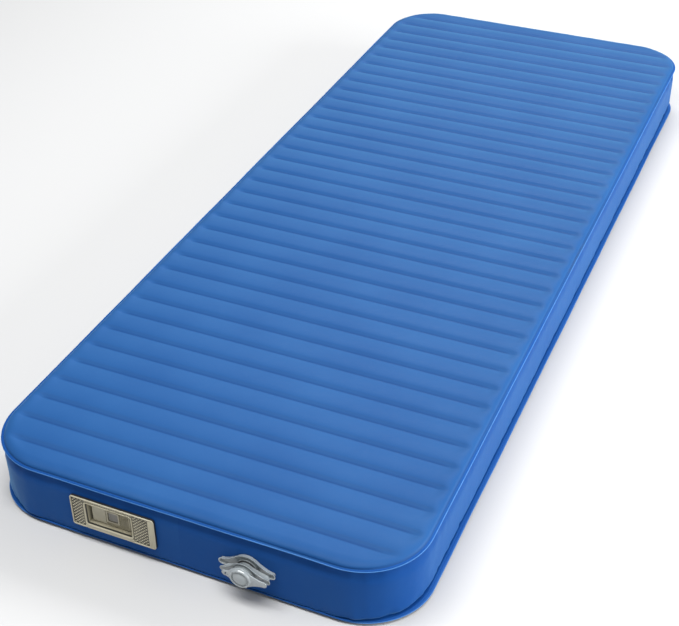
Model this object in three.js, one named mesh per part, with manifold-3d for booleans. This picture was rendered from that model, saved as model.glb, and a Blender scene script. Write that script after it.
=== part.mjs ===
// Self-standing air mattress with a removable pump: transverse channels, a side wall with welded lips,
// a pump bay and a two-stage air valve in the foot wall.
// Millimetres. +Z is up, +X is the sleeper's left to right across the bed, the foot end faces -Y.
// The origin is on the floor, under the middle of the mattress.

import * as THREE from 'three';
import { mergeVertices } from 'three/addons/utils/BufferGeometryUtils.js';
import Module from 'manifold-3d';

const wasm = await Module();
wasm.setup();

// ---- Envelope ----
const mattressLength = 1980;
const mattressWidth = 760;
const sideWallHeight = 110;
const channelCrown = 8;
const channelCount = 37;
const shoulderWidth = 13;
const weldDepth = 6.2;
const outlineRadius = 115;
const lipWidth = 7;
const lipPly = 0.8;
const skinThickness = 1.2;
const edgeRoll = 22;
const wallSetback = 1;
const wallFlatBand = 60;
const beamThickness = 1;
const beamEndClearance = 30;
const weldGap = 0.3;
const arcSteps = 3;
const rollSteps = 2;

// ---- Pump bay ----
const bayCentreX = -126.5;
const baySideGap = 0.5;
const bayBackGap = 0.5;
const bayWall = 2;
const bayFlangeThickness = 1.5;
const faceplateLeftBorder = 29.5;
const faceplateRightBorder = 45.5;
const faceplateBorder = 11.5;
const faceplateRadius = 6;
const faceplateThickness = 3.4;
const faceplateSkirt = 2.2;
const moduleRecess = 9;
const portSealWidth = 2.5;
const portSealThickness = 1.4;
const flapOverlap = 3;
const flapThickness = 1.2;
const flapTabHeight = 3;
const flapTabWidth = 8;
const flapGap = 0.6;

// ---- Pump module ----
const moduleLength = 70;
const moduleHeight = 39;
const moduleDepth = 38;
const moduleRadius = 2.5;
const moduleWall = 1.6;
const smoothEndLength = 25;
const seamGap = 0.3;
const fluteCount = 14;
const fluteDepth = 0.9;
const frameWidth = 2.5;
const frameHeight = 0.8;
const frameCentreFromEnd = 38.8;
const buttonOpening = 19;
const buttonGap = 0.8;
const buttonRecess = 1.6;
const buttonThickness = 4;
const buttonCollar = 1;
const buttonTravel = 1.5;
const buttonRadius = 1.2;
const nozzleRadius = 8.5;
const nozzleBore = 6;
const nozzleReach = 3;
const nozzleCollar = 1.5;
const nozzleCollarThickness = 1.2;
const fitGap = 0.3;
const motorRadius = 11;
const motorLength = 20;
const shaftRadius = 1.25;
const shaftGap = 0.35;
const impellerTipGap = 2.4;
const impellerWidth = 6;
const impellerHubRadius = 4;
const impellerBladeCount = 7;
const impellerBladeThickness = 1.2;
const impellerGap = 1.3;
const motorGap = 2;
const boardEdgeGap = 2.4;
const boardThickness = 1.2;
const switchSize = 6;
const switchStop = 0.5;
const batteryRadius = 8;
const batteryGap = 2;
const socketWidth = 9;
const socketHeight = 3.2;
const socketLength = 7;
const socketWall = 0.6;
const socketDrop = 15.5;
const partsEndGap = 1.4;

// ---- Air valve ----
const valveCentreX = 121.5;
const valveDrop = 3;
const valveBaseRadius = 26.5;
const valveBaseReach = 49;
const valveBasePlate = 2;
const valveBaseRimHeight = 7;
const valveRimWidth = 2;
const valveTipRadius = 6.5;
const neckBore = 14;
const neckWall = 3;
const neckDepth = 12;
const neckHeight = 6;
const valveSealHeight = 0.9;
const valveLayerGap = 0.5;
const capInset = 2;
const capLeftInset = 7;
const capHingeGap = 0.3;
const capPlate = 2;
const capRimWidth = 1.8;
const capHeight = 12.5;
const capBossRise = 4.5;
const capTipRadius = 5.5;
const capSkirtGap = 0.6;
const capSkirtDepth = 4.1;
const inflateBore = 8;
const capBossWall = 3;
const plugInset = 3;
const plugLeftInset = 7.2;
const plugHingeInset = 2.7;
const plugPlate = 2.4;
const plugBossRadius = 18;
const plugBossHeight = 6.5;
const plugRingWidth = 4;
const plugDishDepth = 1.5;
const plugSkirtGap = 0.6;
const plugSkirtDepth = 3.5;
const plugSlotLength = 4;
const plugSlotWidth = 2.4;
const plugSlotFromTip = 7;
const diaphragmOverlap = 2.5;
const diaphragmThickness = 1;
const roundSteps = 14;

// ---- Places that follow from the sizes ----
const bottomSeamZ = channelCrown;
const topSeamZ = bottomSeamZ + sideWallHeight;
const wallMiddleZ = bottomSeamZ + sideWallHeight / 2;
const valveCentreZ = wallMiddleZ - valveDrop;
const channelPitch = mattressLength / channelCount;
const wallFaceY = -mattressLength / 2 + wallSetback;
const wallEndBand = (sideWallHeight - 2 * weldGap - wallFlatBand) / 2;
const bayFlangeFront = weldGap + bayFlangeThickness;
const faceplateFront = bayFlangeFront + fitGap + faceplateThickness;
const moduleFront = faceplateFront - moduleRecess;
const moduleBack = moduleFront - moduleDepth;
const moduleMiddle = (moduleFront + moduleBack) / 2;
const moduleLeftX = bayCentreX - moduleLength / 2;
const moduleRightX = bayCentreX + moduleLength / 2;
const moduleSeamX = moduleLeftX + smoothEndLength;
const bayEndGap = nozzleReach + portSealThickness + 2 * fitGap;
const bayLength = moduleLength + 2 * bayEndGap;
const bayHeight = moduleHeight + 2 * baySideGap;
const bayBack = moduleBack - bayBackGap;
const bayLeftX = bayCentreX - bayLength / 2;
const faceplateLength = faceplateLeftBorder + bayLength + faceplateRightBorder;
const faceplateHeight = bayHeight + 2 * faceplateBorder;
const faceplateCentreX = bayLeftX - faceplateLeftBorder + faceplateLength / 2;
const bayFlangeLength = faceplateLength - 2 * (faceplateSkirt + fitGap);
const bayFlangeHeight = faceplateHeight - 2 * (faceplateSkirt + fitGap);
const portRadius = nozzleBore + fitGap;
const portSealRadius = portRadius + portSealWidth;
const flapRadius = portRadius + flapOverlap;
const boardHeight = moduleHeight - 2 * (moduleWall + boardEdgeGap);
const buttonX = moduleLeftX + frameCentreFromEnd;
const buttonSize = buttonOpening - 2 * buttonGap;
const frameSize = buttonOpening + 2 * frameWidth;
const impellerRadius = moduleDepth / 2 - moduleWall - impellerTipGap;
const capRadius = valveBaseRadius - valveRimWidth - capInset;
const capLeftReach = valveBaseReach - valveRimWidth - capLeftInset;
const capRightReach = valveBaseReach - valveRimWidth - capHingeGap;
const plugRadius = capRadius - plugInset;
const plugLeftReach = capLeftReach - plugLeftInset;
const plugRightReach = capRightReach - plugHingeInset;
const diaphragmRadius = inflateBore + diaphragmOverlap;

const coatedFabric = { roughness: 0.62, metalness: 0 };
const skyBlue = { color: 0x3e6fb1, ...coatedFabric };
const wallBlue = { color: 0x2f5f9f, ...coatedFabric };
const beamBlue = { color: 0x7f9cc4, ...coatedFabric };
const champagne = { color: 0xa19a81, roughness: 0.42, metalness: 0 };
const valveGrey = { color: 0x9aa0a1, roughness: 0.35, metalness: 0 };
const buttonGrey = { color: 0x8e8b84, roughness: 0.5, metalness: 0 };
const rubberBlack = { color: 0x26282b, roughness: 0.8, metalness: 0 };
const boardGreen = { color: 0x1f5a3a, roughness: 0.5, metalness: 0 };
const steel = { color: 0xb4b6b8, roughness: 0.3, metalness: 1 };
const clearSilicone = { color: 0xc9cdcf, roughness: 0.4, metalness: 0 };
const cellWrap = { color: 0x2d6c8c, roughness: 0.35, metalness: 0 };

const mattress = new THREE.Group();

// ---- Geometry helpers ----

function solidOf(geometry) {
  geometry.deleteAttribute('normal');
  geometry.deleteAttribute('uv');
  const merged = mergeVertices(geometry, 1e-4);
  return new wasm.Manifold(new wasm.Mesh({
    numProp: 3,
    vertProperties: new Float32Array(merged.attributes.position.array),
    triVerts: new Uint32Array(merged.index.array),
  }));
}

function geometryOf(solid) {
  const mesh = solid.getMesh();
  const geometry = new THREE.BufferGeometry();
  geometry.setAttribute('position', new THREE.BufferAttribute(mesh.vertProperties, 3));
  geometry.setIndex(new THREE.BufferAttribute(mesh.triVerts, 1));
  geometry.computeVertexNormals();
  return geometry;
}

function addPart(name, shape, material) {
  const geometry = shape.isBufferGeometry ? shape : geometryOf(shape);
  const mesh = new THREE.Mesh(geometry, new THREE.MeshStandardMaterial(material));
  mesh.name = name;
  mattress.add(mesh);
}

function roundedRectangle(width, height, radius, centreX = 0, centreY = 0) {
  const halfWidth = width / 2 - radius;
  const halfHeight = height / 2 - radius;
  const shape = new THREE.Shape();
  shape.absarc(centreX + halfWidth, centreY + halfHeight, radius, 0, Math.PI / 2);
  shape.absarc(centreX - halfWidth, centreY + halfHeight, radius, Math.PI / 2, Math.PI);
  shape.absarc(centreX - halfWidth, centreY - halfHeight, radius, Math.PI, Math.PI * 1.5);
  shape.absarc(centreX + halfWidth, centreY - halfHeight, radius, Math.PI * 1.5, Math.PI * 2);
  shape.closePath();
  return shape;
}

function circle(radius, centreX, centreY) {
  return new THREE.Shape().absarc(centreX, centreY, radius, 0, Math.PI * 2);
}

// A flat plate or prism between two heights.
function upright(shape, lowZ, highZ) {
  const options = { depth: highZ - lowZ, bevelEnabled: false, curveSegments: arcSteps };
  return solidOf(new THREE.ExtrudeGeometry(shape, options).translate(0, 0, lowZ));
}

// A prism that stands out of the foot wall, between two distances from the wall's outer face.
// Its shape is drawn as seen from outside, with X to the right and Z up.
function outOfWall(shape, near, far, steps = arcSteps) {
  const options = { depth: far - near, bevelEnabled: false, curveSegments: steps };
  const geometry = new THREE.ExtrudeGeometry(shape, options);
  return solidOf(geometry.rotateX(Math.PI / 2).translate(0, wallFaceY - near, 0));
}

function valveDisc(radius, near, far) {
  return outOfWall(circle(radius, valveCentreX, valveCentreZ), near, far, roundSteps);
}

// A prism that runs along X, its shape drawn with Y to the right and Z up.
function alongX(shape, lowX, highX, steps = arcSteps) {
  const options = { depth: highX - lowX, bevelEnabled: false, curveSegments: steps };
  const geometry = new THREE.ExtrudeGeometry(shape, options);
  return solidOf(geometry.rotateX(Math.PI / 2).rotateZ(Math.PI / 2).translate(lowX, 0, 0));
}

function rodAlongX(radius, lowX, highX, y, z) {
  return alongX(circle(radius, y, z), lowX, highX, roundSteps);
}

function box(lowX, highX, near, far, lowZ, highZ) {
  const geometry = new THREE.BoxGeometry(highX - lowX, far - near, highZ - lowZ);
  geometry.translate((lowX + highX) / 2, wallFaceY - (near + far) / 2, (lowZ + highZ) / 2);
  return solidOf(geometry);
}

// ---- Envelope: two channelled sheets, the side wall and the beams between them ----

function outline(inset) {
  return roundedRectangle(mattressWidth - 2 * inset, mattressLength - 2 * inset, outlineRadius - inset);
}

// The space under the rolled-down edge of a sheet, from below the seam up to the crown.
function pillow(inset, crown) {
  const geometry = new THREE.ExtrudeGeometry(outline(inset), {
    depth: sideWallHeight / 2,
    bevelThickness: crown,
    bevelSize: edgeRoll,
    bevelOffset: -edgeRoll,
    bevelSegments: rollSteps,
    curveSegments: arcSteps,
  });
  return solidOf(geometry.translate(0, 0, topSeamZ - sideWallHeight / 2));
}

// A block whose upper face carries every channel, with a flat land between two sloping shoulders.
function channelBlock(floorZ, landZ, weldZ) {
  const footY = -mattressLength / 2;
  const shape = new THREE.Shape().moveTo(footY, floorZ);
  for (let i = 0; i < channelCount; i += 1) {
    const startY = footY + i * channelPitch;
    shape.lineTo(startY, weldZ);
    shape.lineTo(startY + shoulderWidth, landZ);
    shape.lineTo(startY + channelPitch - shoulderWidth, landZ);
  }
  shape.lineTo(-footY, weldZ);
  shape.lineTo(-footY, floorZ);
  return alongX(shape, -mattressWidth / 2, mattressWidth / 2);
}

function channelledSheet() {
  const landZ = topSeamZ + channelCrown;
  const weldZ = landZ - weldDepth;
  const outside = pillow(lipWidth, channelCrown).intersect(channelBlock(topSeamZ, landZ, weldZ));
  const inside = pillow(lipWidth + skinThickness, channelCrown - skinThickness)
    .intersect(channelBlock(wallMiddleZ, landZ - skinThickness, weldZ - skinThickness));
  const lip = upright(outline(0), topSeamZ, topSeamZ + lipPly);
  return outside.add(lip).subtract(inside);
}

// The wall swells from its two seams to a flat band at mid height.
function wallBarrel(inset) {
  const geometry = new THREE.ExtrudeGeometry(outline(lipWidth + inset), {
    depth: wallFlatBand,
    bevelThickness: wallEndBand,
    bevelSize: lipWidth - wallSetback,
    bevelSegments: rollSteps,
    curveSegments: arcSteps,
  });
  return solidOf(geometry.translate(0, 0, wallMiddleZ - wallFlatBand / 2));
}

function sideWall() {
  const lowZ = bottomSeamZ + weldGap;
  const highZ = topSeamZ - weldGap;
  const lowerLip = upright(outline(0), lowZ, lowZ + lipPly);
  const upperLip = upright(outline(0), highZ - lipPly, highZ);
  const hollow = wallBarrel(skinThickness)
    .add(upright(outline(lipWidth + skinThickness), lowZ - lipPly, highZ + lipPly));
  const bayCut = outOfWall(bayTubShape(fitGap), -edgeRoll, edgeRoll);
  const valveCut = valveDisc(neckBore + neckWall + fitGap, -edgeRoll, edgeRoll);
  return wallBarrel(0).add(lowerLip).add(upperLip).subtract(hollow).subtract(bayCut).subtract(valveCut);
}

// Half the width of the wall's inner outline at a distance from the middle of the bed.
function innerHalfWidth(y) {
  const halfWidth = mattressWidth / 2 - lipWidth - skinThickness;
  const radius = outlineRadius - lipWidth - skinThickness;
  const intoCorner = Math.abs(y) - (mattressLength / 2 - outlineRadius);
  if (intoCorner <= 0) return halfWidth;
  return halfWidth - radius + Math.sqrt(radius ** 2 - intoCorner ** 2);
}

function addBeam(index) {
  const y = -mattressLength / 2 + index * channelPitch;
  const width = 2 * (innerHalfWidth(y) - beamEndClearance);
  const beam = new THREE.BoxGeometry(width, beamThickness, sideWallHeight - 2 * weldGap);
  beam.translate(0, y, wallMiddleZ);
  addPart(`beam_${String(index).padStart(2, '0')}`, beam, beamBlue);
}

// ---- Pump bay ----

function bayTubShape(clearance) {
  const grow = 2 * (bayWall + clearance);
  return roundedRectangle(bayLength + grow, bayHeight + grow, bayWall + clearance, bayCentreX, wallMiddleZ);
}

function pumpHousing() {
  const flange = roundedRectangle(
    bayFlangeLength, bayFlangeHeight, faceplateRadius - faceplateSkirt, faceplateCentreX, wallMiddleZ);
  const tub = outOfWall(bayTubShape(0), bayBack - bayWall, bayFlangeFront);
  const bay = box(
    bayLeftX, bayLeftX + bayLength, bayBack, faceplateFront,
    wallMiddleZ - bayHeight / 2, wallMiddleZ + bayHeight / 2);
  const port = rodAlongX(
    portRadius, bayLeftX - edgeRoll, bayCentreX, wallFaceY - moduleMiddle, wallMiddleZ);
  const flapTopZ = wallMiddleZ + flapRadius + flapTabHeight + flapGap;
  const lug = box(
    bayLeftX - bayWall - flapGap - flapThickness, bayLeftX - bayWall / 2,
    moduleMiddle - flapTabWidth / 2, moduleMiddle + flapTabWidth / 2,
    flapTopZ, flapTopZ + flapTabHeight);
  return outOfWall(flange, weldGap, bayFlangeFront).add(tub).add(lug).subtract(bay).subtract(port);
}

function pumpFaceplate() {
  const rim = roundedRectangle(
    faceplateLength, faceplateHeight, faceplateRadius, faceplateCentreX, wallMiddleZ);
  const behind = roundedRectangle(
    bayFlangeLength + 2 * fitGap, bayFlangeHeight + 2 * fitGap, faceplateRadius - faceplateSkirt,
    faceplateCentreX, wallMiddleZ);
  const opening = roundedRectangle(
    bayLength + 2 * fitGap, bayHeight + 2 * fitGap, bayWall / 2, bayCentreX, wallMiddleZ);
  return outOfWall(rim, weldGap, faceplateFront)
    .subtract(outOfWall(behind, 0, bayFlangeFront + fitGap))
    .subtract(outOfWall(opening, 0, faceplateFront + fitGap));
}

function portSeal() {
  const lowX = bayLeftX + fitGap;
  const ring = rodAlongX(
    portSealRadius, lowX, lowX + portSealThickness, wallFaceY - moduleMiddle, wallMiddleZ);
  return ring.subtract(rodAlongX(portRadius, bayLeftX, bayCentreX, wallFaceY - moduleMiddle, wallMiddleZ));
}

// The flap hangs over the port from a tab along its upper edge.
function portFlap() {
  const highX = bayLeftX - bayWall - flapGap;
  const lowX = highX - flapThickness;
  const disc = rodAlongX(flapRadius, lowX, highX, wallFaceY - moduleMiddle, wallMiddleZ);
  const tab = box(
    lowX, highX, moduleMiddle - flapTabWidth / 2, moduleMiddle + flapTabWidth / 2,
    wallMiddleZ, wallMiddleZ + flapRadius + flapTabHeight);
  return disc.add(tab);
}

// ---- Pump module ----

function moduleSection(inset) {
  return roundedRectangle(
    moduleDepth - 2 * inset, moduleHeight - 2 * inset, moduleRadius - inset,
    wallFaceY - moduleMiddle, wallMiddleZ);
}

function moduleBlock(inset, lowX, highX) {
  return alongX(moduleSection(inset), lowX, highX, arcSteps / 2);
}

function nozzleHole(lowX, highX) {
  return rodAlongX(nozzleRadius + fitGap, lowX, highX, wallFaceY - moduleMiddle, wallMiddleZ);
}

function moduleCap() {
  const shell = moduleBlock(0, moduleLeftX, moduleSeamX - seamGap);
  const hollow = moduleBlock(moduleWall, moduleLeftX + moduleWall, moduleSeamX + seamGap);
  return shell.subtract(hollow).subtract(nozzleHole(moduleLeftX - moduleWall, moduleSeamX));
}

// Flutes run along the front of the body, with a land between each two.
function flutes() {
  const pitch = (moduleHeight - 2 * moduleRadius) / fluteCount;
  const cuts = [];
  for (let i = 0; i < fluteCount; i += 1) {
    const middleZ = wallMiddleZ + (i - (fluteCount - 1) / 2) * pitch;
    cuts.push(box(
      moduleSeamX + seamGap, moduleRightX - moduleRadius,
      moduleFront - fluteDepth, moduleFront + fluteDepth,
      middleZ - pitch / 4, middleZ + pitch / 4));
  }
  return cuts.reduce((all, cut) => all.add(cut));
}

function buttonSquare(size, near, far, radius = buttonRadius) {
  return outOfWall(roundedRectangle(size, size, radius, buttonX, wallMiddleZ), near, far, arcSteps);
}

function moduleBody() {
  const shell = moduleBlock(0, moduleSeamX, moduleRightX);
  const hollow = moduleBlock(moduleWall, moduleSeamX - seamGap, moduleRightX - moduleWall);
  const frame = buttonSquare(frameSize, moduleFront - moduleWall, moduleFront + frameHeight, moduleRadius);
  const socketMiddle = wallMiddleZ - socketDrop;
  const socketCut = box(
    moduleRightX - socketLength, moduleRightX + fitGap,
    moduleMiddle - socketWidth / 2 - fitGap, moduleMiddle + socketWidth / 2 + fitGap,
    socketMiddle - socketHeight / 2 - fitGap, socketMiddle + socketHeight / 2 + fitGap);
  return shell.subtract(flutes()).add(frame).subtract(hollow)
    .subtract(buttonSquare(buttonOpening, moduleFront - 2 * moduleWall, moduleFront + 2 * frameHeight))
    .subtract(nozzleHole(moduleSeamX, moduleRightX + moduleWall))
    .subtract(socketCut);
}

// A nozzle is a short tube with a collar that holds it behind the module's end wall.
function nozzle(endX, outward) {
  const y = wallFaceY - moduleMiddle;
  const collarX = endX - outward * (moduleWall + fitGap);
  const innerX = collarX - outward * nozzleCollarThickness;
  const tipX = endX + outward * nozzleReach;
  const rod = (radius, fromX, toX) => (
    rodAlongX(radius, Math.min(fromX, toX), Math.max(fromX, toX), y, wallMiddleZ));
  return rod(nozzleRadius, innerX, tipX)
    .add(rod(nozzleRadius + nozzleCollar, innerX, collarX))
    .subtract(rod(nozzleBore, innerX - outward, tipX + outward));
}

const buttonFront = moduleFront + frameHeight - buttonRecess;
const buttonBack = buttonFront - buttonThickness;
const collarFront = moduleFront - moduleWall - fitGap;

function powerButton() {
  const collar = buttonOpening + 2 * buttonCollar;
  return buttonSquare(buttonSize, buttonBack, buttonFront)
    .add(buttonSquare(collar, collarFront - buttonCollar, collarFront));
}

const impellerLeftX = moduleLeftX + moduleWall + fitGap + nozzleCollarThickness + impellerGap;
const motorLeftX = impellerLeftX + impellerWidth + motorGap;
const electronicsLeftX = motorLeftX + motorLength + partsEndGap;
const electronicsRightX = moduleRightX - moduleWall - fitGap - nozzleCollarThickness - partsEndGap;
const boardFront = buttonBack - buttonTravel - switchStop - switchSize / 2;

function impeller() {
  const y = wallFaceY - moduleMiddle;
  const rightX = impellerLeftX + impellerWidth;
  let wheel = rodAlongX(impellerHubRadius, impellerLeftX, rightX, y, wallMiddleZ);
  for (let i = 0; i < impellerBladeCount; i += 1) {
    const blade = new THREE.BoxGeometry(impellerWidth, impellerBladeThickness, impellerRadius);
    blade.translate(0, 0, impellerRadius / 2);
    blade.rotateX((i * Math.PI * 2) / impellerBladeCount);
    blade.translate(impellerLeftX + impellerWidth / 2, y, wallMiddleZ);
    wheel = wheel.add(solidOf(blade));
  }
  return wheel.subtract(rodAlongX(shaftRadius + shaftGap, impellerLeftX - 1, rightX + 1, y, wallMiddleZ));
}

function addPumpModule() {
  const axisY = wallFaceY - moduleMiddle;
  addPart('module_cap', moduleCap(), champagne);
  addPart('module_body', moduleBody(), champagne);
  addPart('power_button', powerButton(), buttonGrey);
  addPart('deflate_nozzle', nozzle(moduleLeftX, -1), buttonGrey);
  addPart('inflate_nozzle', nozzle(moduleRightX, 1), champagne);
  addPart('impeller', impeller(), buttonGrey);
  addPart('motor_shaft', rodAlongX(
    shaftRadius, impellerLeftX, motorLeftX - fitGap, axisY, wallMiddleZ), steel);
  addPart('motor', rodAlongX(
    motorRadius, motorLeftX, motorLeftX + motorLength, axisY, wallMiddleZ), steel);
  addPart('circuit_board', box(
    electronicsLeftX, electronicsRightX, boardFront - boardThickness, boardFront,
    wallMiddleZ - boardHeight / 2, wallMiddleZ + boardHeight / 2), boardGreen);
  addPart('button_switch', box(
    buttonX - switchSize / 2, buttonX + switchSize / 2,
    boardFront + fitGap, buttonBack - buttonTravel - switchStop,
    wallMiddleZ - switchSize / 2, wallMiddleZ + switchSize / 2), rubberBlack);
  addPart('battery', rodAlongX(
    batteryRadius, electronicsLeftX, electronicsRightX,
    wallFaceY - (moduleBack + moduleWall + batteryGap + batteryRadius),
    wallMiddleZ + moduleHeight / 2 - moduleWall - batteryGap - batteryRadius), cellWrap);
  addPart('charge_socket', chargeSocket(), steel);
}

function chargeSocket() {
  const middleZ = wallMiddleZ - socketDrop;
  const shell = (shrink, fromX, toX) => box(
    fromX, toX,
    moduleMiddle - socketWidth / 2 + shrink, moduleMiddle + socketWidth / 2 - shrink,
    middleZ - socketHeight / 2 + shrink, middleZ + socketHeight / 2 - shrink);
  return shell(0, moduleRightX - socketLength, moduleRightX)
    .subtract(shell(socketWall, moduleRightX - socketLength + socketWall, moduleRightX + fitGap));
}

// ---- Air valve: a wing-shaped base, a cap over its neck and a plug over the cap's bore ----

// A round body with an ear that tapers to a rounded tip on each side.
function wing(radius, leftReach, rightReach, tipRadius) {
  const shoulder = THREE.MathUtils.degToRad(50);
  const bodyX = radius * Math.cos(shoulder);
  const bodyZ = radius * Math.sin(shoulder);
  const lead = radius / 3;
  const leadX = lead * Math.sin(shoulder);
  const leadZ = lead * Math.cos(shoulder);
  const shape = new THREE.Shape();
  const rightTip = valveCentreX + rightReach - tipRadius;
  const leftTip = valveCentreX - leftReach + tipRadius;
  const midZ = valveCentreZ;
  shape.absarc(rightTip, midZ, tipRadius, -Math.PI / 2, Math.PI / 2);
  shape.bezierCurveTo(
    rightTip - lead, midZ + tipRadius, valveCentreX + bodyX + leadX, midZ + bodyZ - leadZ,
    valveCentreX + bodyX, midZ + bodyZ);
  shape.absarc(valveCentreX, midZ, radius, shoulder, Math.PI - shoulder);
  shape.bezierCurveTo(
    valveCentreX - bodyX - leadX, midZ + bodyZ - leadZ, leftTip + lead, midZ + tipRadius,
    leftTip, midZ + tipRadius);
  shape.absarc(leftTip, midZ, tipRadius, Math.PI / 2, Math.PI * 1.5);
  shape.bezierCurveTo(
    leftTip + lead, midZ - tipRadius, valveCentreX - bodyX - leadX, midZ - bodyZ + leadZ,
    valveCentreX - bodyX, midZ - bodyZ);
  shape.absarc(valveCentreX, midZ, radius, Math.PI + shoulder, Math.PI * 2 - shoulder);
  shape.bezierCurveTo(
    valveCentreX + bodyX + leadX, midZ - bodyZ + leadZ, rightTip - lead, midZ - tipRadius,
    rightTip, midZ - tipRadius);
  return shape;
}

const wingSteps = 5;
const basePlateTop = weldGap + valveBasePlate;
const sealTop = neckHeight + fitGap + valveSealHeight;
const capNear = valveBaseRimHeight + valveLayerGap;
const capTop = capNear + capHeight;
const capSkirtEnd = capNear - capSkirtDepth;
const plugNear = capTop + capBossRise + valveLayerGap;
const plugBossTop = plugNear + plugBossHeight;

function valveBase() {
  const plan = wing(valveBaseRadius, valveBaseReach, valveBaseReach, valveTipRadius);
  const inner = wing(
    valveBaseRadius - valveRimWidth, valveBaseReach - valveRimWidth, valveBaseReach - valveRimWidth,
    valveTipRadius - valveRimWidth);
  return outOfWall(plan, weldGap, valveBaseRimHeight, wingSteps)
    .subtract(outOfWall(inner, basePlateTop, valveBaseRimHeight + fitGap, wingSteps))
    .add(valveDisc(neckBore + neckWall, -neckDepth, neckHeight))
    .subtract(valveDisc(neckBore, -neckDepth - fitGap, valveBaseRimHeight));
}

function valveSeal() {
  return valveDisc(neckBore + neckWall - fitGap, neckHeight + fitGap, sealTop)
    .subtract(valveDisc(neckBore + fitGap, neckHeight, capNear));
}

function valveCap() {
  const plan = wing(capRadius, capLeftReach, capRightReach, capTipRadius);
  const inner = wing(
    capRadius - capRimWidth, capLeftReach - capRimWidth, capRightReach - capRimWidth,
    capTipRadius - capRimWidth);
  return outOfWall(plan, capNear, capTop, wingSteps)
    .subtract(outOfWall(inner, capNear + capPlate, capTop + fitGap, wingSteps))
    .add(valveDisc(inflateBore + capBossWall, capNear, capTop + capBossRise))
    .add(valveDisc(neckBore - capSkirtGap, capSkirtEnd, capNear + capPlate))
    .subtract(valveDisc(inflateBore, capSkirtEnd - fitGap, plugNear));
}

function valvePlug() {
  const plan = wing(plugRadius, plugLeftReach, plugRightReach, capTipRadius);
  const slotX = valveCentreX - plugLeftReach + plugSlotFromTip;
  const slot = roundedRectangle(plugSlotWidth, plugSlotLength, plugSlotWidth / 3, slotX, valveCentreZ);
  return outOfWall(plan, plugNear, plugNear + plugPlate, wingSteps)
    .add(valveDisc(plugBossRadius, plugNear, plugBossTop))
    .subtract(valveDisc(
      plugBossRadius - plugRingWidth, plugBossTop - plugDishDepth, plugBossTop + fitGap))
    .add(valveDisc(
      inflateBore - plugSkirtGap, plugNear - plugSkirtDepth, plugNear + plugPlate))
    .subtract(outOfWall(slot, plugNear - fitGap, plugNear + plugPlate + fitGap));
}

function valveDiaphragm() {
  return valveDisc(
    diaphragmRadius, capSkirtEnd - fitGap - diaphragmThickness, capSkirtEnd - fitGap);
}

// ---- Assembly ----

const sheet = channelledSheet();
addPart('top_sheet', sheet, skyBlue);
addPart('side_wall', sideWall(), wallBlue);
addPart('bottom_sheet', sheet.mirror([0, 0, 1]).translate(0, 0, 2 * wallMiddleZ), wallBlue);
for (let index = 1; index < channelCount; index += 1) addBeam(index);
addPart('pump_housing', pumpHousing(), champagne);
addPart('pump_faceplate', pumpFaceplate(), champagne);
addPart('port_seal', portSeal(), rubberBlack);
addPart('port_flap', portFlap(), clearSilicone);
addPumpModule();
addPart('valve_base', valveBase(), valveGrey);
addPart('valve_seal', valveSeal(), rubberBlack);
addPart('valve_cap', valveCap(), valveGrey);
addPart('valve_plug', valvePlug(), valveGrey);
addPart('valve_diaphragm', valveDiaphragm(), clearSilicone);

export default mattress;
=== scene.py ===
import math
import bmesh
import bpy
from mathutils import Matrix, Vector, noise
from mathutils.geometry import interpolate_bezier


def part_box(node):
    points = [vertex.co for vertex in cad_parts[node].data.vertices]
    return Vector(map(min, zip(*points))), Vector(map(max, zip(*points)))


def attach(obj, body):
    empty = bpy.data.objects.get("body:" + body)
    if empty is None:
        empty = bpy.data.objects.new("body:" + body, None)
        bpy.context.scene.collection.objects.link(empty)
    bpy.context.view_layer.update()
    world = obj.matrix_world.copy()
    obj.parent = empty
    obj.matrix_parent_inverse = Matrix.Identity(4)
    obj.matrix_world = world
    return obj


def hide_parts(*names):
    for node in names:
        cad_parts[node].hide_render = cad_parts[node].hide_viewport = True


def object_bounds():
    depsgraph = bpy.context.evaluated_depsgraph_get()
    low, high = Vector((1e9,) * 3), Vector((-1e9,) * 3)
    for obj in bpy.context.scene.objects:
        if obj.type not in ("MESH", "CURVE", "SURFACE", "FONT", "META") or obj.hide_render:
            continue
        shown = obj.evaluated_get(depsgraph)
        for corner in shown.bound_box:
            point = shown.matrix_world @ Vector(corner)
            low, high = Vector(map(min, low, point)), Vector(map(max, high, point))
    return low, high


# Air mattress with a removable pump: its looks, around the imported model. Metres, +Z up, foot end at -Y.

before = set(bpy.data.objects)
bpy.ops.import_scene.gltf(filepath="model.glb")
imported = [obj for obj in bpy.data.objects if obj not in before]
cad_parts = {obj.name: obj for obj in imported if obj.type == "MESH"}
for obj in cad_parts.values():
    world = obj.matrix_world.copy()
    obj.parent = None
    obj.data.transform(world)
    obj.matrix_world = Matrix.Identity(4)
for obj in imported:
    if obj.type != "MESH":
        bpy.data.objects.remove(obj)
cadLow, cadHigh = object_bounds()
mm = 0.001

# places that several pieces share
lipLow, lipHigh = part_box("side_wall")
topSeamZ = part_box("top_sheet")[0].z
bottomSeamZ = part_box("bottom_sheet")[1].z
plateLow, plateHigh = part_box("pump_faceplate")
bayLow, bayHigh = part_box("pump_housing")
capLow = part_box("module_cap")[0]
bodyLow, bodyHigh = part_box("module_body")
baseLow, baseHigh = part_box("valve_base")
weldClearance = 0.3 * mm
wallFaceY = plateHigh.y + weldClearance      # outer face of the foot wall at mid height
wallMiddleZ = (topSeamZ + bottomSeamZ) / 2
mattressWidth = lipHigh.x - lipLow.x
mattressLength = lipHigh.y - lipLow.y


def linearColour(hexValue):
    channels = [int(hexValue[i:i + 2], 16) / 255 for i in (0, 2, 4)]
    curved = [c / 12.92 if c <= 0.04045 else ((c + 0.055) / 1.055) ** 2.4 for c in channels]
    return (*curved, 1.0)


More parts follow.
